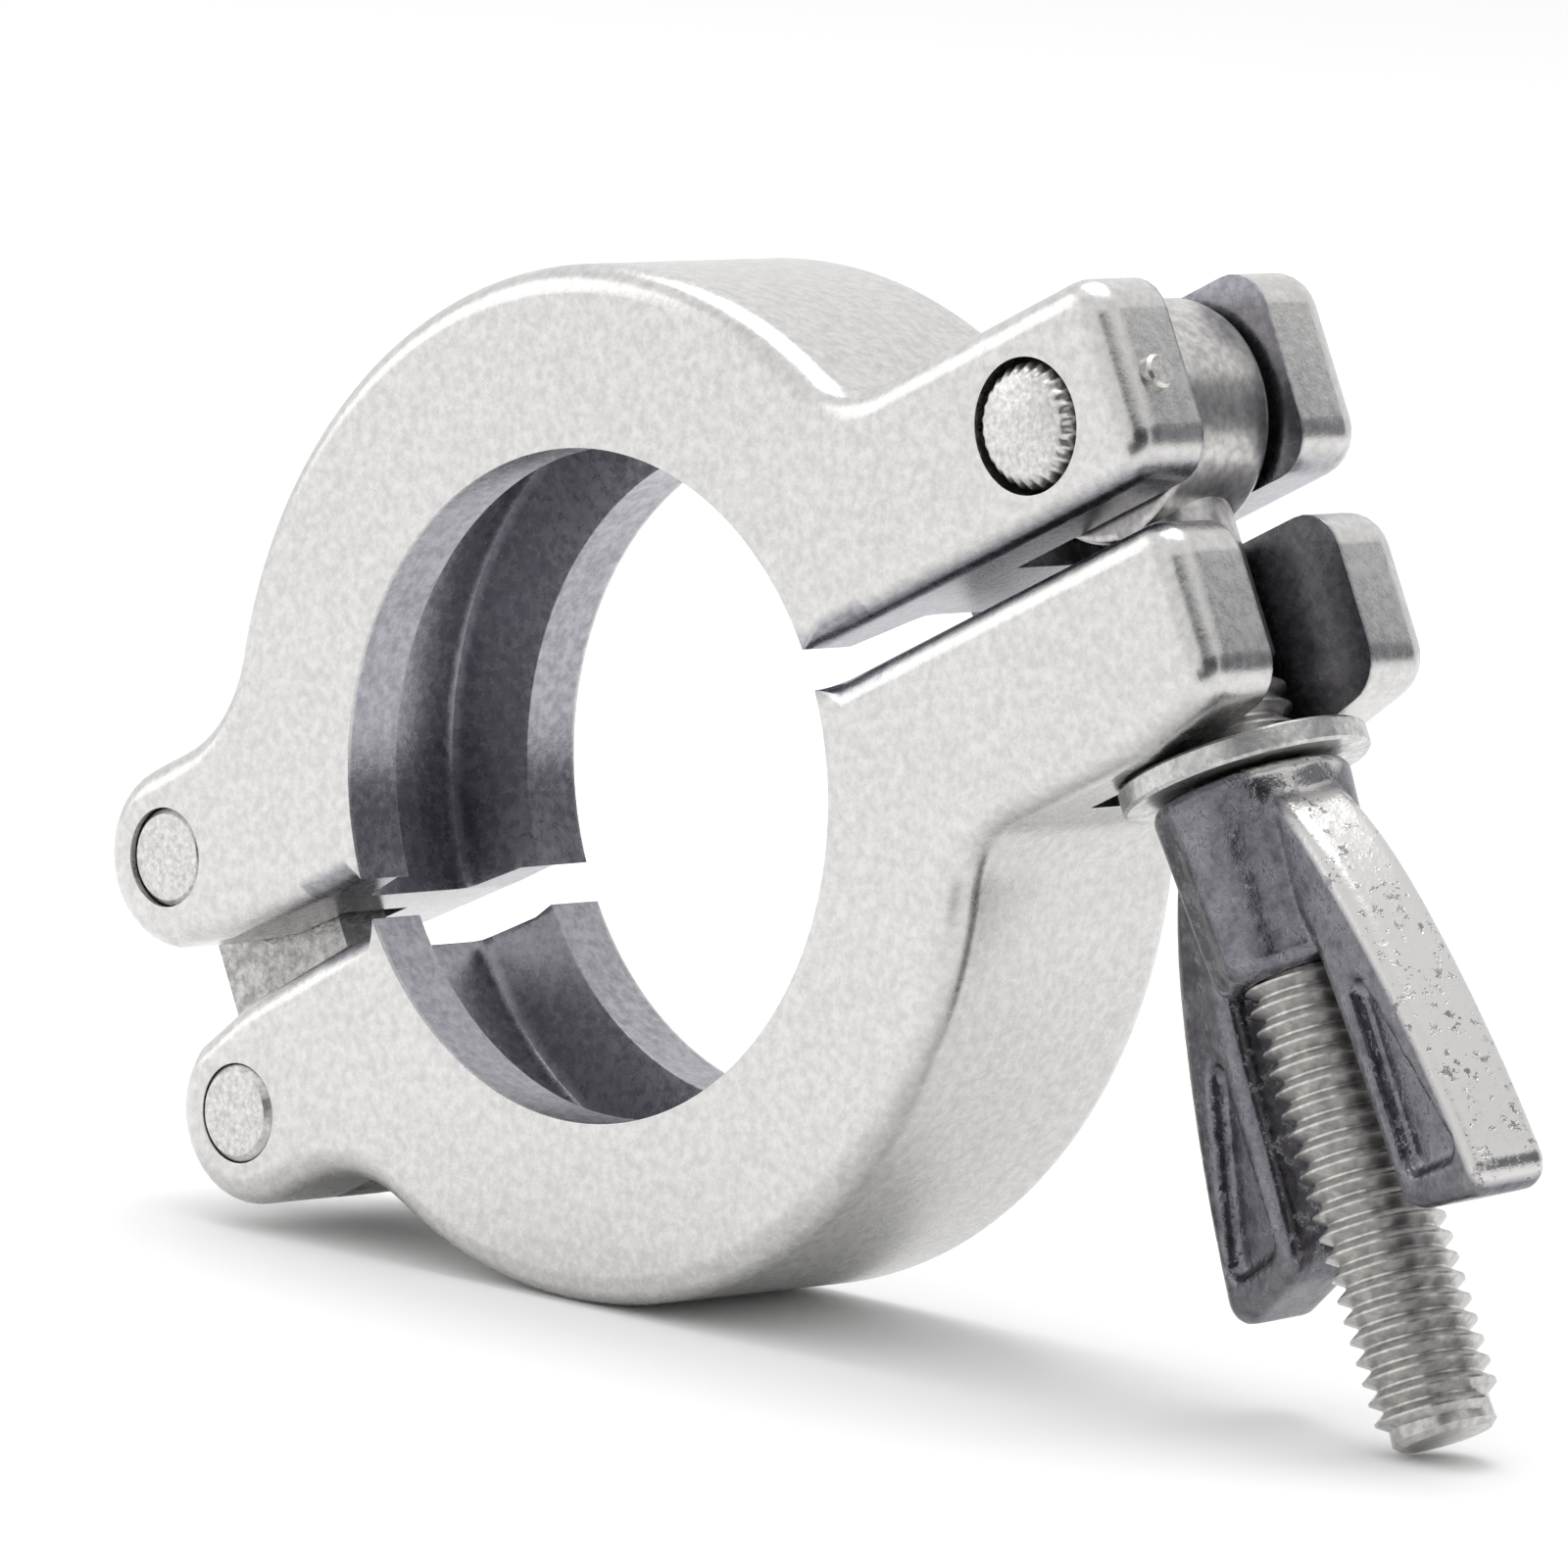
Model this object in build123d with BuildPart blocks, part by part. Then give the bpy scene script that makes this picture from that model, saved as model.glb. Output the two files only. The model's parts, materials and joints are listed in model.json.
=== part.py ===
"""KF25 hinged flange clamp: two cast jaws, a two-pin hinge link and a swing eye bolt with wing nut."""

import os
from math import asin, atan2, cos, degrees, hypot, radians, sin

from build123d import *

os.makedirs("parts", exist_ok=True)

# ---- driving dimensions (mm) ----
bore_r = 16.2           # lip bore, clears the tube behind the flange
flange_r = 20.0         # rim of a KF25 flange
rim_clear = 0.4         # groove floor beyond the flange rim
ring_wall = 8.8         # lip bore to outer arc
jaw_width = 15.6        # along the bore axis
groove_floor_w = 6.8    # width of the groove floor
flank_angle = 15.0      # slope of the clamping flanks
groove_r = 0.5          # radius in the groove corners
jaw_gap = 2.0           # between the closed jaws
edge_r = 1.2            # cast edge rounding

pin_x = 28.9            # bore centre to hinge pins
pin_z = 6.7             # hinge pins above and below the joint plane
hinge_pin_d = 4.8
knuckle_r = 4.5         # round end of a jaw at the hinge
knuckle_top = 4.6       # pin centre to the top of the knuckle
hinge_slot = 4.2        # slot for the link
link_t = 3.2
link_w = 9.2

bolt_x = 33.6           # bore centre to the bolt pin
bolt_z = 5.6            # bolt pin above the joint plane
bolt_pin_d = 6.0
ear_reach = 6.6         # bolt pin to the end of the ear
ear_top_z = 11.0
ear_slot = 6.8          # slot for the bolt
ear_corner_r = 2.2
seat_drop = 0.8         # slope of the nut seat towards the ear end

thread_d = 6.0
bolt_length = 50.0      # eye centre to tip
eye_d = 11.4
tip_chamfer = 0.7

washer_d = 12.0
washer_t = 1.2
nut_base_d = 9.8
nut_end_d = 8.4
hub_length = 9.3
wing_r = 11.8           # reach of a wing from the bolt axis
wing_length = 23.2      # nut base to wing ends
wing_t = 4.3
wing_turn = -15.0       # direction of the wings about the bolt
lock_pin_d = 1.7
lock_proud = 0.5

# ---- clearances (mm) ----
run_gap = 0.05          # radial running fit on pins and thread
washer_gap = 0.35       # washer hole to bolt
seat_gap = 0.15         # ear seat to washer, washer to nut
eye_gap = 0.4           # each side of the eye in the ear slot

# ---- derived sizes ----
outer_r = bore_r + ring_wall
groove_floor_r = flange_r + rim_clear
half_w = jaw_width / 2
ear_end_x = bolt_x + ear_reach
eye_w = ear_slot - 2 * eye_gap
joint_z = jaw_gap / 2
tip_x = bolt_x - thread_d / 2 + tip_chamfer
tip_z = bolt_length - bolt_z
lean = degrees(atan2(tip_z, tip_x) - asin(outer_r / hypot(tip_x, tip_z)))
washer_z = -ear_top_z - seat_gap
nut_z = washer_z - washer_t - seat_gap
slot_end_x = bolt_x - eye_d / 2 - 1.2

# ---- directions of the leaning clamp: along towards the ears, rise from lower to upper jaw ----
along = Vector(cos(radians(lean)), 0, sin(radians(lean)))
rise = Vector(-sin(radians(lean)), 0, cos(radians(lean)))
front = Plane(origin=(0, 0, 0), x_dir=along, z_dir=(0, -1, 0))


def spot(x, y, z):
    """Point given along the clamp, along the bore axis and above the joint plane."""
    return along * x + Vector(0, y, 0) + rise * z


def pin_plane(x, z):
    """Plane across a pin, its normal along the bore axis."""
    return Plane(origin=spot(x, 0, z), x_dir=along, z_dir=(0, -1, 0))


def bolt_plane(z):
    """Plane across the bolt at a height, its normal towards the tip."""
    return Plane(origin=spot(bolt_x, 0, z), x_dir=along, z_dir=-rise)


lock_y = -(ear_slot / 2 + half_w) / 2
lock_start_x = bolt_x + (bolt_pin_d**2 / 4 - lock_pin_d**2 / 4) ** 0.5
lock_plane = Plane(origin=spot(lock_start_x, lock_y, bolt_z), x_dir=(0, 1, 0), z_dir=along)
wing_out = along * cos(radians(wing_turn)) + Vector(0, sin(radians(wing_turn)), 0)
wing_plane = Plane(origin=spot(bolt_x, 0, nut_z), x_dir=wing_out, z_dir=wing_out.cross(-rise))


def pin_gap(edge):
    """Distance of an edge's middle from the nearer hinge pin axis."""
    p = edge.position_at(0.5)
    x = p.X * along.X + p.Z * along.Z
    z = p.X * rise.X + p.Z * rise.Z
    return hypot(x + pin_x, abs(z) - pin_z)


def jaw_outline(side, seat):
    """Outline of one jaw seen along the bore axis; side is +1 above the joint plane, -1 below."""
    s = side
    with BuildSketch(front) as outline:
        with BuildLine():
            Polyline(
                (-outer_r - 20, s * joint_z),
                (outer_r + 20, s * joint_z),
                (outer_r + 20, s * (outer_r + 20)),
                (-outer_r - 20, s * (outer_r + 20)),
                close=True,
            )
        make_face()
        Circle(outer_r, mode=Mode.INTERSECT)
        with BuildLine():
            Polyline(
                (bore_r + 1, s * joint_z),
                (ear_end_x, s * joint_z),
                (ear_end_x, s * (ear_top_z - seat)),
                (bolt_x, s * ear_top_z),
                (bore_r + 1, s * ear_top_z),
                close=True,
            )
        make_face()
        with BuildLine():
            Polyline(
                (-bore_r - 1, s * joint_z),
                (-pin_x, s * joint_z),
                (-pin_x, s * (pin_z + knuckle_top)),
                (-bore_r - 4, s * (pin_z + knuckle_top + 1.0)),
                (-bore_r - 1, s * (pin_z + knuckle_top)),
                close=True,
            )
        make_face()
        with BuildLine():
            Polyline(
                (-pin_x - knuckle_r, s * (joint_z + 0.6)),
                (-pin_x, s * (joint_z + 0.6)),
                (-pin_x, s * (pin_z + knuckle_top)),
                (-pin_x - knuckle_r, s * (pin_z + knuckle_top)),
                close=True,
            )
        make_face()
        Circle(bore_r, mode=Mode.SUBTRACT)
        ends = outline.vertices().filter_by(lambda v: abs(v.X - ear_end_x) < 0.02)
        fillet(ends, ear_corner_r)
        back = outline.vertices().filter_by(lambda v: abs(v.X + pin_x + knuckle_r) < 0.02)
        fillet(back, knuckle_r * 0.62)
        root_x = (outer_r**2 - ear_top_z**2) ** 0.5
        root = outline.vertices().filter_by(lambda v: abs(v.X - root_x) < 0.02)
        fillet(root, 1.6)
    return outline.sketch


with BuildSketch(Plane.XY) as groove_profile:
    # half section of the groove: x is the radius, y the distance from the middle of the jaw
    with BuildLine():
        flank_run = (groove_floor_r - bore_r + 1.5) * sin(radians(flank_angle)) / cos(radians(flank_angle))
        Polyline(
            (bore_r - 1.5, -groove_floor_w / 2 - flank_run),
            (groove_floor_r, -groove_floor_w / 2),
            (groove_floor_r, groove_floor_w / 2),
            (bore_r - 1.5, groove_floor_w / 2 + flank_run),
            close=True,
        )
    make_face()
    corners = groove_profile.vertices().filter_by(lambda v: v.X > groove_floor_r - 0.1)
    fillet(corners, groove_r)

# the V-shaped groove that draws the two flanges together, turned about the bore axis
with BuildPart() as groove:
    with BuildSketch(Plane(origin=(0, 0, 0), x_dir=along, z_dir=rise)):
        add(groove_profile.sketch)
    revolve(axis=Axis((0, 0, 0), (0, 1, 0)), revolution_arc=360)


def rounded_faces(body):
    """Outer edges of the two end faces, without those of the lip bore."""
    faces = body.faces().filter_by(Axis.Y).sort_by(Axis.Y)
    edges = faces[0].edges() + faces[-1].edges()
    return edges.filter_by(lambda e: edge_reach(e) > bore_r + 0.3)


def edge_reach(edge):
    """Distance of an edge's middle from the bore axis."""
    p = edge.position_at(0.5)
    return hypot(p.X, p.Z)


def slot_cutter(x_inner, x_outer, width):
    """Slot open at one end of the clamp, cut through both jaws' height."""
    with BuildPart() as cutter:
        with BuildSketch(Plane(origin=spot((x_inner + x_outer) / 2, 0, 0), x_dir=along, z_dir=rise)):
            Rectangle(abs(x_outer - x_inner), width)
        extrude(amount=30, both=True)
    return cutter.part


bolt_slot = slot_cutter(slot_end_x, ear_end_x + 10, ear_slot)
link_slot = slot_cutter(-pin_x + link_w / 2 + 0.9, -pin_x - 15, hinge_slot)

# ---- upper jaw: carries the upper hinge pin, the bolt pin and its lock pin ----
with BuildPart() as upper_jaw:
    extrude(jaw_outline(1, 0.0), amount=half_w, both=True)
    fillet(rounded_faces(upper_jaw), edge_r)
    add(groove.part, mode=Mode.SUBTRACT)
    add(bolt_slot, mode=Mode.SUBTRACT)
    add(link_slot, mode=Mode.SUBTRACT)
    with BuildSketch(pin_plane(-pin_x, pin_z)):
        Circle(hinge_pin_d / 2)
    extrude(amount=jaw_width, both=True, mode=Mode.SUBTRACT)
    with BuildSketch(pin_plane(bolt_x, bolt_z)):
        Circle(bolt_pin_d / 2)
    extrude(amount=jaw_width, both=True, mode=Mode.SUBTRACT)
    with BuildSketch(lock_plane):
        Circle(lock_pin_d / 2)
    extrude(amount=ear_end_x, mode=Mode.SUBTRACT)
upper_jaw.part.label = "upper_jaw"
export_step(upper_jaw.part, "parts/upper_jaw.step")

# ---- lower jaw: slotted ear with the sloping seat for washer and nut ----
with BuildPart() as lower_jaw:
    extrude(jaw_outline(-1, seat_drop), amount=half_w, both=True)
    fillet(rounded_faces(lower_jaw), edge_r)
    add(groove.part, mode=Mode.SUBTRACT)
    add(bolt_slot, mode=Mode.SUBTRACT)
    add(link_slot, mode=Mode.SUBTRACT)
    with BuildSketch(pin_plane(-pin_x, -pin_z)):
        Circle(hinge_pin_d / 2)
    extrude(amount=jaw_width, both=True, mode=Mode.SUBTRACT)
lower_jaw.part.label = "lower_jaw"
export_step(lower_jaw.part, "parts/lower_jaw.step")

# ---- hinge link: one stamped plate between the knuckles ----
with BuildPart() as hinge_link:
    with BuildSketch(front):
        with Locations((-pin_x, 0)):
            SlotCenterToCenter(2 * pin_z, link_w, rotation=90)
        with Locations((-pin_x, pin_z), (-pin_x, -pin_z)):
            Circle(hinge_pin_d / 2 + run_gap, mode=Mode.SUBTRACT)
    extrude(amount=link_t / 2, both=True)
    rims = hinge_link.edges().filter_by(lambda e: abs(abs(e.position_at(0.5).Y) - link_t / 2) < 0.01)
    chamfer(rims.filter_by(lambda e: pin_gap(e) > hinge_pin_d / 2 + 1), 0.25)
hinge_link.part.label = "hinge_link"
export_step(hinge_link.part, "parts/hinge_link.step")

# ---- hinge pins, pressed into the knuckles; the lower one stands slightly proud ----
with BuildPart() as upper_hinge_pin:
    with BuildSketch(pin_plane(-pin_x, pin_z)):
        Circle(hinge_pin_d / 2)
    extrude(amount=half_w - 0.15, both=True)
    chamfer(upper_hinge_pin.edges().filter_by(GeomType.CIRCLE), 0.25)
upper_hinge_pin.part.label = "upper_hinge_pin"
export_step(upper_hinge_pin.part, "parts/upper_hinge_pin.step")

with BuildPart() as lower_hinge_pin:
    with BuildSketch(pin_plane(-pin_x, -pin_z)):
        Circle(hinge_pin_d / 2)
    extrude(amount=half_w + 0.2, both=True)
    chamfer(lower_hinge_pin.edges().filter_by(GeomType.CIRCLE), 0.3)
lower_hinge_pin.part.label = "lower_hinge_pin"
export_step(lower_hinge_pin.part, "parts/lower_hinge_pin.step")

# ---- bolt pin: held by the lock pin from the ear's end face ----
with BuildPart() as bolt_pin:
    with BuildSketch(pin_plane(bolt_x, bolt_z)):
        Circle(bolt_pin_d / 2)
    extrude(amount=half_w + 0.3, both=True)
    chamfer(bolt_pin.edges().filter_by(GeomType.CIRCLE), 0.55)
bolt_pin.part.label = "bolt_pin"
export_step(bolt_pin.part, "parts/bolt_pin.step")

with BuildPart() as lock_pin:
    with BuildSketch(lock_plane):
        Circle(lock_pin_d / 2)
    extrude(amount=ear_end_x + lock_proud - lock_start_x)
    chamfer(lock_pin.edges().filter_by(GeomType.CIRCLE).sort_by(Axis(spot(0, 0, 0), along))[-1], 0.15)
lock_pin.part.label = "lock_pin"
export_step(lock_pin.part, "parts/lock_pin.step")

# ---- swing bolt: flat-sided eye on a round shank ----
with BuildPart() as eye_bolt:
    with BuildSketch(bolt_plane(bolt_z)):
        Circle(thread_d / 2)
    extrude(amount=bolt_length)
    tip = eye_bolt.edges().filter_by(lambda e: abs(e.position_at(0).dot(rise) - bolt_z + bolt_length) < 0.01)
    chamfer(tip.filter_by(GeomType.CIRCLE), tip_chamfer)
    with BuildSketch(pin_plane(bolt_x, bolt_z)):
        Circle(eye_d / 2)
    extrude(amount=eye_w / 2, both=True)
    with BuildSketch(pin_plane(bolt_x, bolt_z)):
        Circle(bolt_pin_d / 2 + run_gap)
    extrude(amount=eye_w, both=True, mode=Mode.SUBTRACT)
eye_bolt.part.label = "eye_bolt"
export_step(eye_bolt.part, "parts/eye_bolt.step")

# ---- washer under the ear seat ----
with BuildPart() as washer:
    with BuildSketch(bolt_plane(washer_z)):
        Circle(washer_d / 2)
        Circle(thread_d / 2 + washer_gap, mode=Mode.SUBTRACT)
    extrude(amount=washer_t)
    chamfer(washer.edges().filter_by(lambda e: e.length > 3.1 * washer_d), 0.15)
washer.part.label = "washer"
export_step(washer.part, "parts/washer.step")

# ---- wing nut: tapered fluted hub with two swept wings, pocketed on both faces ----
with BuildPart() as wing_nut:
    with BuildSketch(bolt_plane(nut_z)):
        Circle(nut_base_d / 2)
    with BuildSketch(bolt_plane(nut_z - hub_length)):
        Circle(nut_end_d / 2)
    loft()
    with BuildSketch(wing_plane):
        for side in (1, -1):
            with BuildLine():
                Polyline((side * 3.2, 0.9), (side * 4.4, 1.2), (side * 6.6, 5.2))
                Spline((side * 6.6, 5.2), (side * 9.0, 9.6), (side * 11.2, 15.2), (side * wing_r, 20.0))
                Spline(
                    (side * wing_r, 20.0),
                    (side * 11.3, 22.4),
                    (side * 9.7, wing_length),
                    (side * 8.2, 22.2),
                    (side * 7.6, 20.0),
                )
                Spline((side * 7.6, 20.0), (side * 7.0, 15.5), (side * 5.6, 11.6), (side * 4.0, 9.2))
                Polyline((side * 4.0, 9.2), (side * 3.2, 8.8), (side * 3.2, 0.9))
            make_face()
    extrude(amount=wing_t / 2, both=True)
    with BuildSketch(wing_plane.offset(wing_t / 2 - 0.7), wing_plane.offset(-wing_t / 2 + 0.7)):
        for side in (1, -1):
            with Locations((side * 9.0, 17.2)):
                SlotCenterToCenter(4.6, 2.4, rotation=90 - side * 12)
    extrude(amount=2, both=False, mode=Mode.SUBTRACT)
    with BuildSketch(bolt_plane(nut_z + 1)):
        Circle(thread_d / 2 + run_gap)
    extrude(amount=wing_length + 5, mode=Mode.SUBTRACT)
wing_nut.part.label = "wing_nut"
export_step(wing_nut.part, "parts/wing_nut.step")
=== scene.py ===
import json
import math

import bmesh
import bpy
from mathutils import Matrix, Vector


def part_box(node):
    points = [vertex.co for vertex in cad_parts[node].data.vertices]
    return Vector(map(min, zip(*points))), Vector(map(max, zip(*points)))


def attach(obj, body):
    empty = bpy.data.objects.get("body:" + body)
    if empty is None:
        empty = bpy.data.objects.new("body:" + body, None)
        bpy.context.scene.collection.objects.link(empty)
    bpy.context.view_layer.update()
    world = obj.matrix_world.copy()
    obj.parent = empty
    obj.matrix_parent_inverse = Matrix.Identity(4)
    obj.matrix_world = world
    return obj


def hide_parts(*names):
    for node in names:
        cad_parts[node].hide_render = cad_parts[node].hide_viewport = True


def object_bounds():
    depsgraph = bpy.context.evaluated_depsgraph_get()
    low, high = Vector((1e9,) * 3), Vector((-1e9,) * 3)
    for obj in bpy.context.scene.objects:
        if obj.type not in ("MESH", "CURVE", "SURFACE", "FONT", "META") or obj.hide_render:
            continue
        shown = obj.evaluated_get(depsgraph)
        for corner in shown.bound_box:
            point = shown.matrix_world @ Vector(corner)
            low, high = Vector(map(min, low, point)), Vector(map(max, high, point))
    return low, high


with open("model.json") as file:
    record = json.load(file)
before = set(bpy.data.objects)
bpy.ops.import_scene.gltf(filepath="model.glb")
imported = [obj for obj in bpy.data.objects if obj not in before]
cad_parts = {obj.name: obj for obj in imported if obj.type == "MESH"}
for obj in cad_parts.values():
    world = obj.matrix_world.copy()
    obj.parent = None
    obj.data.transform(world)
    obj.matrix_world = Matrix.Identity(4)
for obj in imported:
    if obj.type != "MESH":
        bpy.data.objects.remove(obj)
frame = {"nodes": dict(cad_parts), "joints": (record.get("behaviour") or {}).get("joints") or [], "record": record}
cad_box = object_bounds()
mm = 0.001

# ---- Cast jaws -------------------------------------------------------------------------------
# Two investment-cast stainless half rings, tumbled to a satin skin with a fine mottled grain.
# The outer faces carry the plain metal colour. The lips, the groove, the slots and the joint
# faces get a darker, bluish colour: painted shade in these recesses and between the jaws.


class Tone:
    """A shader socket that takes part in Python arithmetic."""

    def __init__(self, finish, socket):
        self.finish = finish
        self.socket = socket

    def maths(self, operation, *values):
        return self.finish.node("ShaderNodeMath", {"operation": operation}, dict(enumerate(values)))

    def __add__(self, other):
        return self.maths("ADD", self, other)

    def __sub__(self, other):
        return self.maths("SUBTRACT", self, other)

    def __rsub__(self, other):
        return self.maths("SUBTRACT", other, self)

    def __mul__(self, other):
        return self.maths("MULTIPLY", self, other)

    def __or__(self, other):
        """Where either of two masks holds."""
        return self.maths("MAXIMUM", self, other)

    def __abs__(self):
        return self.maths("ABSOLUTE", self)

    __radd__, __rmul__ = __add__, __mul__


class Finish:
    """A material with one Principled shader, and a short way to add nodes to it."""

    def __init__(self, name, metallic=1.0):
        self.material = bpy.data.materials.new(name)
        self.material.use_nodes = True
        self.tree = self.material.node_tree
        self.shader = self.tree.nodes["Principled BSDF"]
        self.shader.inputs["Metallic"].default_value = metallic
        self.place = self.node("ShaderNodeTexCoord", out="Object")

    def put(self, node, key, value):
        """Links or sets one socket. A plain colour is given without its alpha."""
        socket = node.inputs[key]
        if isinstance(value, Tone):
            self.tree.links.new(value.socket, socket)
        elif socket.type == "RGBA":
            socket.default_value = (*value, 1)
        else:
            socket.default_value = value

    def node(self, kind, settings=None, values=None, out=0):
        """Adds a node, with its settings first and then its sockets' values or links."""
        made = self.tree.nodes.new(kind)
        for key, value in (settings or {}).items():
            setattr(made, key, value)
        for key, value in (values or {}).items():
            self.put(made, key, value)
        return Tone(self, made.outputs[out])

    def set(self, colour, roughness):
        self.put(self.shader, "Base Color", colour)
        self.put(self.shader, "Roughness", roughness)

    def grain(self, size, detail=3.0, rough=0.6):
        """Noise with its lumps about size metres across."""
        values = {"Vector": self.place, "Scale": 1 / size, "Detail": detail, "Roughness": rough}
        return self.node("ShaderNodeTexNoise", {}, values, "Fac")

    def spread(self, tone, low, high, to_low=0.0, to_high=1.0):
        """Stretches tone from low..high onto to_low..to_high, clamped."""
        return self.node("ShaderNodeMapRange", {}, {0: tone, 1: low, 2: high, 3: to_low, 4: to_high})

    def within(self, tone, limit, fade):
        """1 up to the limit, then down to 0 over the fade."""
        return self.spread(tone, limit, limit + fade, 1, 0)

    def distance(self, direction):
        """How far the surface lies along a direction from the frame's origin, in millimetres."""
        values = {0: self.place, 1: direction / mm}
        return self.node("ShaderNodeVectorMath", {"operation": "DOT_PRODUCT"}, values, "Value")

    def blend(self, mask, first, second):
        """Colour that goes from first to second with the mask."""
        return self.node("ShaderNodeMix", {"data_type": "RGBA"}, {0: mask, 6: first, 7: second}, 2)

    def bump(self, height, depth, strength=1.0):
        """Relief of the surface, depth in metres."""
        values = {"Height": height, "Distance": depth, "Strength": strength}
        self.put(self.shader, "Normal", self.node("ShaderNodeBump", {}, values, "Normal"))


def dress(node, finish):
    """Gives a CAD node one finish in place of its plain one."""
    mesh = frame["nodes"][node].data
    mesh.materials.clear()
    mesh.materials.append(finish.material)


def joint(name):
    return next(j for j in frame["joints"] if j["name"] == name)


# The clamp leans on its lower jaw and the bolt's tip. Pieces are shaped in its own plane, with
# x along towards the ears, y across and z up from the joint plane, and then leaned.
rise = Vector(joint("nut_spin")["axis"]).normalized()
along = Vector((rise.z, 0, -rise.x))
across = Vector((0, 1, 0))
lean = Matrix((along, across, rise)).transposed()


def in_clamp(point):
    """A point of the row frame, in millimetres in the clamp's own plane."""
    return lean.transposed() @ Vector(point) / mm


hinge = in_clamp(joint("jaw_pivot")["pos_m"])
bolt_eye = in_clamp(joint("bolt_swing")["pos_m"])
jaw_width = (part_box("upper_jaw")[1][1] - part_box("upper_jaw")[0][1]) / mm
bore = next(m for m in frame["record"]["mounts"] if m["name"] == "lip_bore")["dims"]["r_mm"]
outer = -cad_box[0][2] / mm
half_gap = 1.0
rim_radius = 1.5
knuckle_radius = 4.6
ear_end, ear_height, ear_corner = 40.2, 11.0, 2.2
groove_floor, groove_half, flank_angle = 20.4, 3.4, 15
ear_slot, ear_slot_end = 6.8, bolt_eye.x - 6.9
link_slot, link_slot_end = 4.2, hinge.x + 5.5
hinge_pin_hole, bolt_pin_hole = 2.47, 3.22
cast = Finish("Tumbled stainless casting")


def arc(centre, radius, start, end, steps):
    """Points on an arc, angles in degrees."""
    turns = (math.radians(start + (end - start) * i / steps) for i in range(steps + 1))
    return [(centre[0] + radius * math.cos(t), centre[1] + radius * math.sin(t)) for t in turns]


def jaw_outline(seat_drop):
    """Outer line and lip line of the upper jaw. The lower one is turned over later."""
    knuckle_blend, ear_blend = 7.0, 4.0
    knuckle_top = hinge.z + knuckle_radius
    ear_x = math.sqrt((outer + ear_blend) ** 2 - (ear_height + ear_blend) ** 2)
    knuckle_x = math.sqrt((outer + knuckle_blend) ** 2 - (knuckle_top + knuckle_blend) ** 2)
    ear_turn = math.degrees(math.atan2(ear_height + ear_blend, ear_x))
    knuckle_turn = math.degrees(math.atan2(knuckle_top + knuckle_blend, knuckle_x))
    mouth = math.degrees(math.asin(half_gap / bore))
    corner_x, seat_turn = ear_end - ear_corner, 8 * seat_drop
    points = [(bore + 1.3, half_gap)]
    points += arc((corner_x, half_gap + ear_corner), ear_corner, -90, 0, 6)
    points += arc((corner_x, ear_height - seat_drop - ear_corner), ear_corner, 0, 90 - seat_turn, 6)
    if seat_drop:
        points.append((bolt_eye.x, ear_height))
    points += arc((ear_x, ear_height + ear_blend), ear_blend, -90, ear_turn - 180, 10)
    points += arc((0, 0), outer, ear_turn, 180 - knuckle_turn, 72)[1:-1]
    points += arc((-knuckle_x, knuckle_top + knuckle_blend), knuckle_blend, -knuckle_turn, -90, 12)
    points += arc((hinge.x, hinge.z), knuckle_radius, 90, 245, 16)
    points += [(hinge.x + 2.0, half_gap + 0.7), (-bore - 3.6, half_gap + 0.35)]
    points.append((-bore - 1.0, half_gap + 0.3))
    return points, arc((0, 0), bore, 180 - mouth, mouth, 72)


def place_mesh(name, bm, finish, smooth=35):
    """Turns millimetres in the clamp's plane into a mesh object leaning in the row frame."""
    bmesh.ops.transform(bm, matrix=(lean * mm).to_4x4(), verts=bm.verts)
    bmesh.ops.recalc_face_normals(bm, faces=bm.faces)
    mesh = bpy.data.meshes.new(name)
    bm.to_mesh(mesh)
    bm.free()
    mesh.shade_smooth()
    mesh.set_sharp_from_angle(angle=math.radians(smooth))
    mesh.materials.append(finish.material)
    piece = bpy.data.objects.new(name, mesh)
    bpy.context.collection.objects.link(piece)
    return piece


def bridge(bm, rings, ends=True):
    """Faces between neighbouring rings of points, and one over each end."""
    for one, two in zip(rings, rings[1:]):
        for i in range(len(one)):
            n = (i + 1) % len(one)
            bm.faces.new(tuple(dict.fromkeys((one[i], two[i], two[n], one[n]))))
    if ends:
        bm.faces.new(rings[0])
        bm.faces.new(list(reversed(rings[-1])))


def rounded_prism(outline, weights, width, radius, side, steps=6):
    """Outline drawn out to a width, its two rims rolled inwards where the weight is 1."""
    count = len(outline)
    inward = []
    for i in range(count):
        before, here, after = (Vector(outline[(i + k) % count]) for k in (-1, 0, 1))
        travel = ((here - before).normalized() + (after - here).normalized()).normalized()
        inward.append(Vector((-travel.y, travel.x)))
    levels = [math.pi / 2 * k / steps for k in range(steps + 1)]
    rows = [(radius * (1 - math.cos(t)) - width / 2, radius * (1 - math.sin(t))) for t in levels]
    rows += [(-y, inset) for y, inset in reversed(rows)]
    bm = bmesh.new()
    rings = []
    for y, inset in rows:
        spots = (Vector(p) + n * inset * w for p, n, w in zip(outline, inward, weights))
        rings.append([bm.verts.new((p.x, y, p.y * side)) for p in spots])
    bridge(bm, rings)
    return bm


def box_between(low, high):
    """Box from its lowest to its highest corner."""
    bm = bmesh.new()
    size = [h - l for l, h in zip(low, high)]
    middle = Vector((l + h) / 2 for l, h in zip(low, high))
    bmesh.ops.create_cube(bm, size=1, matrix=Matrix.Translation(middle) @ Matrix.Diagonal((*size, 1)))
    return bm


def cross_rod(x, z, radius, length, steps=64):
    """Rod along the bore's direction."""
    bm = bmesh.new()
    matrix = Matrix.Translation((x, 0, z)) @ Matrix.Rotation(math.pi / 2, 4, "X")
    bmesh.ops.create_cone(
        bm, cap_ends=True, segments=steps, radius1=radius, radius2=radius, depth=length, matrix=matrix
    )
    return bm


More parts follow.
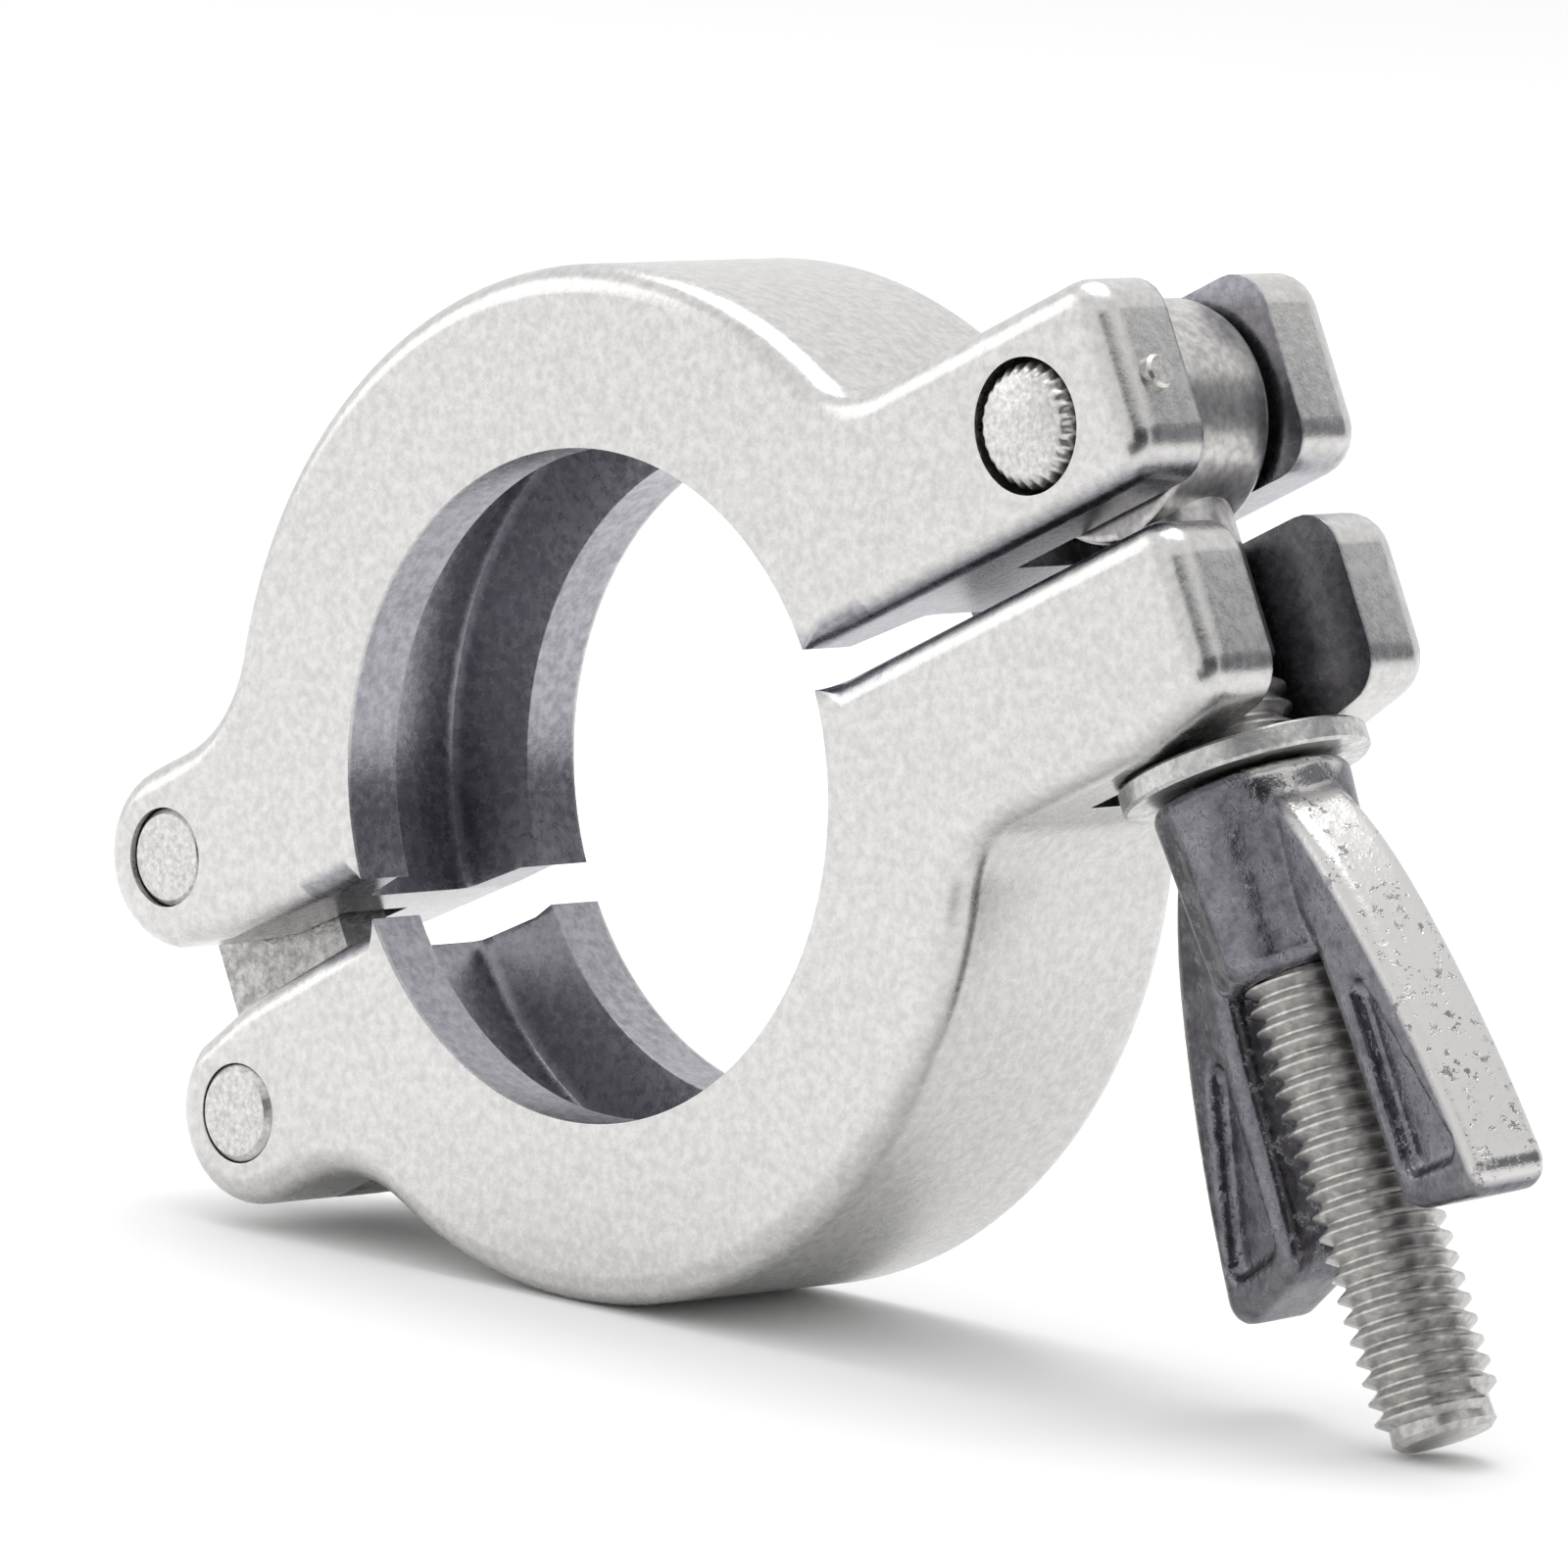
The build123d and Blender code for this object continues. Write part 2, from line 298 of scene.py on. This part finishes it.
def groove_ring(inner=13.0, steps=144):
    """Cutter of the V groove: sloping flanks, rounded into the floor."""
    flank = (groove_floor - inner) * math.tan(math.radians(flank_angle))
    half = [
        (inner, groove_half + flank),
        (groove_floor - 0.6, groove_half + 0.16),
        (groove_floor - 0.15, groove_half - 0.1),
        (groove_floor, groove_half - 0.6),
    ]
    section = half + [(r, -y) for r, y in reversed(half)]
    bm = bmesh.new()
    rings = []
    for i in range(steps):
        turn = 2 * math.pi * i / steps
        rings.append([bm.verts.new((r * math.cos(turn), y, r * math.sin(turn))) for r, y in section])
    bridge(bm, rings + rings[:1], ends=False)
    return bm


def settle(piece):
    """Applies every modifier."""
    mesh = bpy.data.meshes.new_from_object(piece.evaluated_get(bpy.context.evaluated_depsgraph_get()))
    piece.modifiers.clear()
    piece.data = mesh
    return piece


def cut(piece, tools, operation="DIFFERENCE"):
    """Booleans, worked out and applied. The tools are used up."""
    for tool in tools:
        step = piece.modifiers.new("cut", "BOOLEAN")
        step.object = tool
        step.operation = operation
        step.solver = "EXACT"
    settle(piece)
    for tool in tools:
        bpy.data.objects.remove(tool)


def soften(piece, width, angle, steps=2):
    """Small rounded edges where two faces meet more sharply than the angle."""
    step = piece.modifiers.new("edges", "BEVEL")
    step.width = width
    step.segments = steps
    step.limit_method = "ANGLE"
    step.angle_limit = math.radians(angle)
    return settle(piece)


def merge_slivers(piece, reach=0.004 * mm):
    """Merges points that a cut left on top of each other and drops the slivers between them."""
    bm = bmesh.new()
    bm.from_mesh(piece.data)
    bmesh.ops.remove_doubles(bm, verts=bm.verts, dist=reach)
    bmesh.ops.dissolve_degenerate(bm, edges=bm.edges, dist=reach)
    bm.to_mesh(piece.data)
    bm.free()


def even_normals(piece, smooth=40):
    """Smooth shading that keeps large flat faces flat and edges past the angle sharp."""
    piece.data.shade_smooth()
    piece.data.set_sharp_from_angle(angle=math.radians(smooth))
    weighting = piece.modifiers.new("normals", "WEIGHTED_NORMAL")
    weighting.keep_sharp = True
    return settle(piece)


def make_jaw(node, side, seat_drop):
    """One jaw. The side is 1 for the upper one and -1 for the lower one, which has the seat."""
    back, lips = jaw_outline(seat_drop)
    weights = [1.0] * len(back) + [0.0] * len(lips)
    bm = rounded_prism(back + lips, weights, jaw_width, rim_radius, side)
    jaw = place_mesh("cast_" + node, bm, cast)
    far = 60
    tools = [groove_ring()]
    tools.append(box_between((ear_slot_end, -ear_slot / 2, -far), (far, ear_slot / 2, far)))
    tools.append(box_between((-far, -link_slot / 2, -far), (link_slot_end, link_slot / 2, far)))
    tools.append(cross_rod(hinge.x, side * hinge.z, hinge_pin_hole, 2 * jaw_width))
    if side > 0:
        tools.append(cross_rod(bolt_eye.x, bolt_eye.z, bolt_pin_hole, 2 * jaw_width))
    cut(jaw, [place_mesh("tool", tool, cast) for tool in tools])
    merge_slivers(soften(jaw, 0.35 * mm, 50, 3))
    even_normals(jaw)
    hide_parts(node)
    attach(jaw, node)


mottle = cast.grain(0.55 * mm, 5.0, 0.68)
fine = cast.grain(0.16 * mm, 2.0)
cloud = cast.grain(6 * mm, 2.0)
run = cast.distance(along)
width = abs(cast.distance(across))
height = abs(cast.distance(rise))
flat = cast.node("ShaderNodeVectorMath", {"operation": "MULTIPLY"}, {0: cast.place, 1: (1 / mm, 0, 1 / mm)})
radius = cast.node("ShaderNodeVectorMath", {"operation": "LENGTH"}, {0: flat}, "Value")
inside_bore = cast.within(radius, groove_floor + 0.05, 0.2) * cast.within(width, jaw_width / 2 - 0.25, 0.2)
in_ear = cast.spread(run, ear_slot_end + 0.2, ear_slot_end + 0.5)
in_ear = in_ear * cast.within(width, ear_slot / 2 + 0.02, 0.18)
in_knuckle = cast.within(run, link_slot_end - 0.2, 0.3) * cast.within(width, link_slot / 2 + 0.02, 0.18)
joint_face = cast.within(height, half_gap + 0.1, 0.8)
lumps = cast.spread(mottle, 0.36, 0.64)
# Painted shade: the darker, bluish colour on the lips, the groove, the slots and the joint faces stands for the
# shade in these recesses and between the jaws.
outer_colour = cast.blend(lumps, (0.53, 0.522, 0.51), (0.67, 0.662, 0.651))
painted_shade_colour = cast.blend(lumps, (0.26, 0.255, 0.285), (0.42, 0.412, 0.445))
painted_shade_mask = inside_bore | in_ear | in_knuckle | joint_face
cast.set(cast.blend(painted_shade_mask, outer_colour, painted_shade_colour), cast.spread(mottle * 0.6 + cloud * 0.4, 0.3, 0.7, 0.22, 0.32))
cast.bump(mottle * 0.7 + fine * 0.3, 0.03 * mm, 0.5)

make_jaw("upper_jaw", 1, 0.0)
make_jaw("lower_jaw", -1, 0.8)

# ---- Hinge link ------------------------------------------------------------------------------
# One plate stamped from thick stainless sheet, with torn, mottled edges. It sits in the slots
# of both knuckles and turns on their pins.
plate = Finish("Stamped link plate")
torn = plate.grain(0.6 * mm, 5.0, 0.7)
plate.set(plate.blend(plate.spread(torn, 0.35, 0.65), (0.24, 0.235, 0.23), (0.55, 0.54, 0.53)), 0.42)
plate.bump(torn, 0.12 * mm, 0.8)
dress("hinge_link", plate)

# ---- Pins ------------------------------------------------------------------------------------
# Turned stainless pins: a plain one in each knuckle, and a thicker one that carries the bolt.
# The bolt pin grips the ear's cheeks by its ribbed ends, and a little pin locks it.
turned = Finish("Turned pin ends")
scratch = turned.grain(0.35 * mm, 4.0, 0.7)
turned.set(turned.blend(turned.spread(scratch, 0.35, 0.65), (0.45, 0.44, 0.43), (0.72, 0.71, 0.69)), 0.34)
turned.bump(scratch, 0.06 * mm, 0.5)
for pin in ("upper_hinge_pin", "lower_hinge_pin", "lock_pin"):
    dress(pin, turned)


def make_bolt_pin(radius=3.0, ribs=26, depth=0.2, steps=312):
    """Bolt pin with bevelled ends. An end is a list of run, inset and share of the ribs' depth."""
    low, high = (corner[1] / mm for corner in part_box("bolt_pin"))
    bevel = [(0.0, 0.7, 0.0), (0.12, 0.45, 0.3), (0.6, 0.06, 1.0)]
    ribbed = [(0.8, 0.0, 1.0), (2.3, 0.0, 1.0), (2.5, 0.0, 0.0)]
    end = bevel + ribbed
    rows = [(low + run, inset, share) for run, inset, share in end]
    rows += [(high - run, inset, share) for run, inset, share in reversed(end)]
    bm = bmesh.new()
    rings = []
    for y, inset, share in rows:
        ring = []
        for i in range(steps):
            turn = 2 * math.pi * i / steps
            reach = radius - inset - depth * share * (0.5 - 0.5 * math.cos(ribs * turn))
            spot = (bolt_eye.x + reach * math.cos(turn), y, bolt_eye.z + reach * math.sin(turn))
            ring.append(bm.verts.new(spot))
        rings.append(ring)
    bridge(bm, rings)
    pin = place_mesh("ribbed_bolt_pin", bm, turned, 50)
    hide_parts("bolt_pin")
    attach(pin, "upper_jaw")


make_bolt_pin()

# ---- Swing bolt ------------------------------------------------------------------------------
# Stainless eye bolt with a flat-sided eye on the bolt pin. The right-hand thread of 1 mm pitch
# is rolled on, up to the tip.
bolt_length, shank_radius, root_radius, crest_radius = 50.0, 2.95, 2.45, 3.0
eye_radius, eye_width, eye_hole = 5.7, 6.0, 3.05
pitch, ridge_depth = 1.0, 0.62
tip = bolt_eye.z - bolt_length
thread_end = bolt_eye.z - 13.0
rolled = Finish("Rolled bolt")
wear = rolled.grain(0.5 * mm, 3.0)
rolled.set(rolled.blend(rolled.spread(wear, 0.35, 0.65), (0.42, 0.41, 0.40), (0.64, 0.63, 0.61)), 0.3)


def thread_tree():
    """A ridge of one pitch wound right-handed round a core."""
    tree = bpy.data.node_groups.new("Rolled thread", "GeometryNodeTree")
    tree.interface.new_socket("Geometry", in_out="OUTPUT", socket_type="NodeSocketGeometry")
    for label in ("Turns", "Pitch", "Middle radius", "Depth"):
        tree.interface.new_socket(label, in_out="INPUT", socket_type="NodeSocketFloat")
    tree.interface.new_socket("Finish", in_out="INPUT", socket_type="NodeSocketMaterial")
    add, link = tree.nodes.new, tree.links.new
    sizes, result = add("NodeGroupInput"), add("NodeGroupOutput")

    def times(size, factor):
        """A size times another size or a plain number."""
        product = add("ShaderNodeMath")
        product.operation = "MULTIPLY"
        link(size, product.inputs[0])
        if isinstance(factor, float):
            product.inputs[1].default_value = factor
        else:
            link(factor, product.inputs[1])
        return product.outputs[0]

    spiral = add("GeometryNodeCurveSpiral")
    spiral.inputs["Resolution"].default_value = 40
    link(sizes.outputs["Turns"], spiral.inputs["Rotations"])
    link(sizes.outputs["Middle radius"], spiral.inputs["Start Radius"])
    link(sizes.outputs["Middle radius"], spiral.inputs["End Radius"])
    link(times(sizes.outputs["Turns"], sizes.outputs["Pitch"]), spiral.inputs["Height"])
    upright = add("GeometryNodeSetCurveNormal")
    upright.mode = "Z_UP"
    link(spiral.outputs[0], upright.inputs["Curve"])
    ridge = add("GeometryNodeCurvePrimitiveQuadrilateral")
    ridge.mode = "TRAPEZOID"
    link(times(sizes.outputs["Pitch"], 0.98), ridge.inputs["Bottom Width"])
    link(times(sizes.outputs["Pitch"], 0.12), ridge.inputs["Top Width"])
    link(sizes.outputs["Depth"], ridge.inputs["Height"])
    ridge.inputs["Offset"].default_value = 0
    outwards = add("GeometryNodeTransform")
    outwards.inputs["Rotation"].default_value = (0, 0, math.radians(90))
    link(ridge.outputs[0], outwards.inputs[0])
    sweep = add("GeometryNodeCurveToMesh")
    link(upright.outputs[0], sweep.inputs["Curve"])
    link(outwards.outputs[0], sweep.inputs["Profile Curve"])
    sweep.inputs["Fill Caps"].default_value = True
    whole, metal = add("GeometryNodeRealizeInstances"), add("GeometryNodeSetMaterial")
    link(sweep.outputs[0], whole.inputs[0])
    link(whole.outputs[0], metal.inputs["Geometry"])
    link(sizes.outputs["Finish"], metal.inputs["Material"])
    link(metal.outputs[0], result.inputs[0])
    return tree


def make_thread(low, high):
    """The thread's ridge between two heights, sunk a little into the bolt's core."""
    holder = bpy.data.objects.new("thread", bpy.data.meshes.new("thread"))
    bpy.context.collection.objects.link(holder)
    winding = holder.modifiers.new("thread", "NODES")
    winding.node_group = thread_tree()
    sizes = {
        "Turns": (high - low) / pitch,
        "Pitch": pitch,
        "Middle radius": crest_radius - ridge_depth / 2,
        "Depth": ridge_depth,
        "Finish": rolled.material,
    }
    for item in winding.node_group.interface.items_tree:
        if item.in_out == "INPUT":
            winding[item.identifier] = sizes[item.name]
    settle(holder)
    bm = bmesh.new()
    bm.from_mesh(holder.data)
    bpy.data.objects.remove(holder)
    bmesh.ops.translate(bm, vec=(bolt_eye.x, 0, low), verts=bm.verts)
    return place_mesh("bolt_thread", bm, rolled)


def lathe(profile, steps=72):
    """A closed turned body about the bolt's axis, from (radius, height) points, ends on the axis."""
    bm = bmesh.new()
    rings = []
    for radius, height in profile:
        if radius == 0:
            rings.append([bm.verts.new((bolt_eye.x, 0, height))] * steps)
            continue
        turns = (2 * math.pi * i / steps for i in range(steps))
        spots = ((bolt_eye.x + radius * math.cos(t), radius * math.sin(t), height) for t in turns)
        rings.append([bm.verts.new(spot) for spot in spots])
    bridge(bm, rings, ends=False)
    return bm


def make_bolt():
    """The threaded shank with its eye, and the thread as a piece of its own."""
    thread = make_thread(tip + 1.1, thread_end - 0.2)
    shank = [(0, tip), (root_radius - 0.25, tip), (root_radius + 0.05, tip + 0.3), (root_radius, tip + 1.0)]
    shank += [(root_radius, thread_end), (shank_radius, thread_end + 0.6)]
    shank += [(shank_radius, bolt_eye.z), (0, bolt_eye.z)]
    bolt = place_mesh("swing_bolt", lathe(shank), rolled)
    eye = place_mesh("eye", cross_rod(bolt_eye.x, bolt_eye.z, eye_radius, eye_width, 96), rolled)
    hole = place_mesh("hole", cross_rod(bolt_eye.x, bolt_eye.z, eye_hole, 2 * jaw_width), rolled)
    cut(bolt, [soften(eye, 0.5 * mm, 60)], "UNION")
    cut(bolt, [hole])
    even_normals(bolt)
    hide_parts("eye_bolt")
    for piece in (bolt, thread):
        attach(piece, "bolt")


make_bolt()

# ---- Washer ----------------------------------------------------------------------------------
# Plain stainless washer, punched from sheet and lightly hazed all over. It lies loose on the
# bolt between the ear's seat and the nut.
punched = Finish("Punched washer")
haze = punched.grain(0.5 * mm, 4.0, 0.7)
dull = punched.spread(haze, 0.35, 0.65, 0.38, 0.26)
punched.set(punched.blend(punched.spread(haze, 0.35, 0.65), (0.42, 0.42, 0.41), (0.66, 0.66, 0.65)), dull)
punched.bump(haze, 0.05 * mm, 0.4)
dress("washer", punched)

# ---- Wing nut --------------------------------------------------------------------------------
# One rough casting with a fluted hub and two swept wings, each hollowed on both sides. The
# hub and the wings' faces get a dark, bluish colour, which is painted shade and painted dark reflection; the
# wings' pitted outer edges keep a bright metal colour.
washer_thick, seat_gap = 1.2, 0.15
hub_length, hub_top, hub_bottom = 9.4, 4.8, 4.25
wing_thick, wing_end, wing_reach = 4.2, 23.2, 11.5
nut_hole = 3.06
nut_top = -ear_height - washer_thick - 2 * seat_gap
wing_turn = math.radians(-15)
wing_way = along * math.cos(wing_turn) + across * math.sin(wing_turn)
rough_cast = Finish("Rough cast nut")
knobs = rough_cast.grain(1.4 * mm, 4.0, 0.6)
pores = rough_cast.grain(0.55 * mm, 3.0, 0.7)
pitted = rough_cast.spread(pores, 0.56, 0.62) * rough_cast.spread(knobs, 0.45, 0.6)
patches = rough_cast.spread(knobs * 0.5 + pores * 0.5, 0.38, 0.62)
# Painted shade: the dark, bluish skin over the hub and the wings' faces stands for shade and dark reflection on
# these faces.
painted_shade_skin = rough_cast.blend(patches, (0.11, 0.105, 0.125), (0.25, 0.245, 0.265))
bright_skin = rough_cast.blend(pitted, (0.62, 0.61, 0.60), (0.25, 0.245, 0.25))
# The wings' outer edge runs out as a shallow curve of the depth below the nut's top.
outward = abs(rough_cast.distance(wing_way) - bolt_eye.x * along.dot(wing_way))
depth = nut_top - rough_cast.distance(rise)
outer_edge = depth * 0.53 - depth * depth * 0.0091 + 4.3
edge_face = rough_cast.spread(outward - outer_edge, -0.8, -0.4)
nut_skin = rough_cast.blend(edge_face, painted_shade_skin, bright_skin)
rough_cast.set(nut_skin, rough_cast.spread(pitted, 0, 1, 0.26, 0.5))
rough_cast.bump(knobs * 0.5 - pitted * 0.6 + pores * 0.2, 0.16 * mm, 0.7)


def hub_body(flutes=6, flute_depth=0.3, steps=96):
    """Tapered hub with rounded flutes down its side, from (depth, inset) rows."""
    rows = [(0.0, 0.5), (0.15, 0.2), (0.5, 0.0), (3, 0.0), (6, 0.0), (8.6, 0.0), (9.15, 0.25)]
    rows.append((hub_length, 0.75))
    bm = bmesh.new()
    rings = []
    for depth, inset in rows:
        radius = hub_top + (hub_bottom - hub_top) * depth / hub_length - inset
        flute = flute_depth * min(1.0, depth / 2.5)
        ring = []
        for i in range(steps):
            turn = 2 * math.pi * i / steps
            reach = radius - flute * (0.5 - 0.5 * math.cos(flutes * (turn - wing_turn))) ** 2
            ring.append(bm.verts.new((reach * math.cos(turn), reach * math.sin(turn), -depth)))
        rings.append(ring)
    bridge(bm, rings)
    return bm


def curve_through(points, steps=8):
    """Smooth line through a few points."""
    line = []
    last = len(points) - 1
    for i in range(last):
        a, b, c, d = (Vector(points[min(max(i + k, 0), last)]) for k in (-1, 0, 1, 2))
        for t in (j / steps for j in range(steps)):
            bend = (2 * a - 5 * b + 4 * c - d) * t ** 2 + (3 * b - a - 3 * c + d) * t ** 3
            line.append(tuple(0.5 * (2 * b + (c - a) * t + bend)))
    return line + [points[-1]]


def wing_body(side):
    """One wing: curved outer edge, straight inner edge beside the thread, blunt rounded end."""
    outside = curve_through(
        [(3.4, -0.9), (5.2, -2.4), (7.4, -6.2), (9.3, -11.5), (10.7, -17.0), (wing_reach, -21.6)]
    )
    end = arc((wing_reach - 1.35, 1.5 - wing_end), 1.4, 0, -88, 5)
    end += arc((6.4, 2.3 - wing_end), 1.5, -98, -175, 5)
    inside = [(4.75, -19.0), (4.5, -14.0), (4.15, -10.2), (3.9, -8.4), (3.4, -7.0)]
    outline = list(reversed(outside + end + inside))
    bm = rounded_prism(outline, [1.0] * len(outline), wing_thick, 0.75, 1, 4)
    bmesh.ops.scale(bm, vec=(side, 1, 1), verts=bm.verts)
    bmesh.ops.recalc_face_normals(bm, faces=bm.faces)
    return bm


def pocket_body(side, face):
    """Long hollow with rounded ends, wider towards the wing's end and the surface."""
    top = arc((6.6, -12.2), 0.7, 175, 5, 6)
    bottom = arc((9.3, -20.0), 1.0, -10, -85, 4) + arc((7.0, -19.8), 1.0, -95, -170, 4)
    outline = list(reversed(top + bottom))
    middle = Vector((7.6, -17.0))
    floor = wing_thick / 2 - 0.8
    bm = bmesh.new()
    rings = []
    for out, scale in ((0.0, 0.9), (0.2, 1.0), (2.25, 7 / 6)):
        spots = [middle + (Vector(p) - middle) * scale for p in outline]
        rings.append([bm.verts.new((p.x * side, face * (floor + out), p.y)) for p in spots])
    bridge(bm, rings)
    return bm


def on_nut(bm):
    """Turns a piece of the nut to the wings' direction and moves it under the washer."""
    place = Matrix.Translation((bolt_eye.x, 0, nut_top)) @ Matrix.Rotation(wing_turn, 4, "Z")
    bmesh.ops.transform(bm, matrix=place, verts=bm.verts)
    return bm


def join(piece, others):
    """Puts the others' meshes into the piece. They only overlap until a remesh fuses them."""
    bm = bmesh.new()
    for part in (piece, *others):
        bm.from_mesh(part.data)
    bm.to_mesh(piece.data)
    bm.free()
    for other in others:
        bpy.data.objects.remove(other)


def make_nut():
    """Hub and hollowed wings, fused by a fine remesh, with the bolt's hole cut last."""
    nut = place_mesh("cast_wing_nut", on_nut(hub_body()), rough_cast)
    wings = []
    for side in (1, -1):
        wing = place_mesh("wing", on_nut(wing_body(side)), rough_cast)
        pockets = [on_nut(pocket_body(side, face)) for face in (1, -1)]
        cut(wing, [place_mesh("pocket", pocket, rough_cast) for pocket in pockets])
        wings.append(wing)
    join(nut, wings)
    fusing = nut.modifiers.new("fusing", "REMESH")
    fusing.mode = "VOXEL"
    fusing.voxel_size = 0.17 * mm
    fusing.use_smooth_shade = True
    relax = nut.modifiers.new("relax", "SMOOTH")
    relax.iterations = 5
    relax.factor = 0.5
    settle(nut)
    bm = cross_rod(0, 0, nut_hole, 60)
    bmesh.ops.rotate(bm, cent=(0, 0, 0), matrix=Matrix.Rotation(math.pi / 2, 3, "X"), verts=bm.verts)
    cut(nut, [place_mesh("hole", on_nut(bm), rough_cast)])
    merge_slivers(nut)
    nut.data.shade_smooth()
    nut.data.set_sharp_from_angle(angle=math.radians(60))
    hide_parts("wing_nut")
    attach(nut, "nut")


make_nut()

# ---- Studio ----------------------------------------------------------------------------------
# Plain white floor in an even white surround, with two soft lights. Cards that show only in
# reflections give the bright metal its dark edges.
paper = Finish("White floor", metallic=0.0)
paper.set((0.9, 0.9, 0.9), 0.9)
bpy.ops.mesh.primitive_plane_add(size=6, location=(0, 0, cad_box[0][2] - 0.02 * mm))
floor = bpy.context.object
floor.name = "floor"
floor.data.materials.append(paper.material)

world = bpy.data.worlds.new("White tent")
world.use_nodes = True
world.node_tree.nodes["Background"].inputs["Color"].default_value = (1, 1, 1, 1)
world.node_tree.nodes["Background"].inputs["Strength"].default_value = 1.0
bpy.context.scene.world = world
bpy.context.scene.view_settings.view_transform = "Standard"


def softbox(name, place, size, watts):
    """Square light that faces the clamp."""
    light = bpy.data.lights.new(name, "AREA")
    light.shape = "SQUARE"
    light.size = size
    light.energy = watts
    lamp = bpy.data.objects.new(name, light)
    bpy.context.collection.objects.link(lamp)
    lamp.location = place
    lamp.rotation_euler = (-Vector(place)).to_track_quat("-Z", "Y").to_euler()


softbox("top softbox", (-0.15, 0.1, 0.7), 0.5, 2.5)
softbox("left softbox", (-0.6, -0.35, 0.25), 0.45, 0.6)

# The view is set in the clamp's own plane, so that the lean doesn't change it.
azimuth, tilt, roll = (math.radians(angle) for angle in (42.9, -11.7, -16.4))
view_distance = 0.628
back = Vector((math.sin(azimuth) * math.cos(tilt), -math.cos(azimuth) * math.cos(tilt), math.sin(tilt)))
level = Vector((math.cos(azimuth), math.sin(azimuth), 0))
right = level * math.cos(roll) + back.cross(level) * math.sin(roll)
up = back.cross(right)
aim = Vector((1.7, 3.0, -1.7)) + right * 0.5 + up * 0.6
camera = bpy.data.cameras.new("camera")
camera.lens = 298.2
camera.sensor_width = 36
camera.clip_start = 0.01
eye = bpy.data.objects.new("camera", camera)
turn = lean @ Matrix((right, up, back)).transposed()
eye.matrix_world = Matrix.Translation(lean @ (aim * mm + back * view_distance)) @ turn.to_4x4()
bpy.context.collection.objects.link(eye)
bpy.context.scene.camera = eye

black = Finish("Dark card", metallic=0.0)
black.set((0.02, 0.02, 0.03), 1.0)
grey = Finish("Grey card", metallic=0.0)
grey.set((0.12, 0.12, 0.14), 1.0)


def dark_card(name, finish, direction, distance, size):
    """Card seen only in the metal's reflections. It faces the clamp, or lies if it is low."""
    bpy.ops.mesh.primitive_plane_add(size=size)
    card = bpy.context.object
    card.name = name
    facing = direction.to_track_quat("Z", "Y").to_matrix().to_4x4()
    if direction.z < 0:
        facing = Matrix.Identity(4)
    card.matrix_world = Matrix.Translation(direction.normalized() * distance) @ facing
    card.data.materials.append(finish.material)
    card.visible_camera = card.visible_diffuse = card.visible_shadow = False


dark_card("card behind the camera", black, Vector((0.82, -0.57, 0.15)), 0.75, 0.75)
dark_card("card on the table", black, Vector((0.55, -0.57, -0.045)), 0.40, 0.42)
dark_card("card at the right", grey, Vector((0.93, 0.55, 0.15)), 0.75, 0.75)
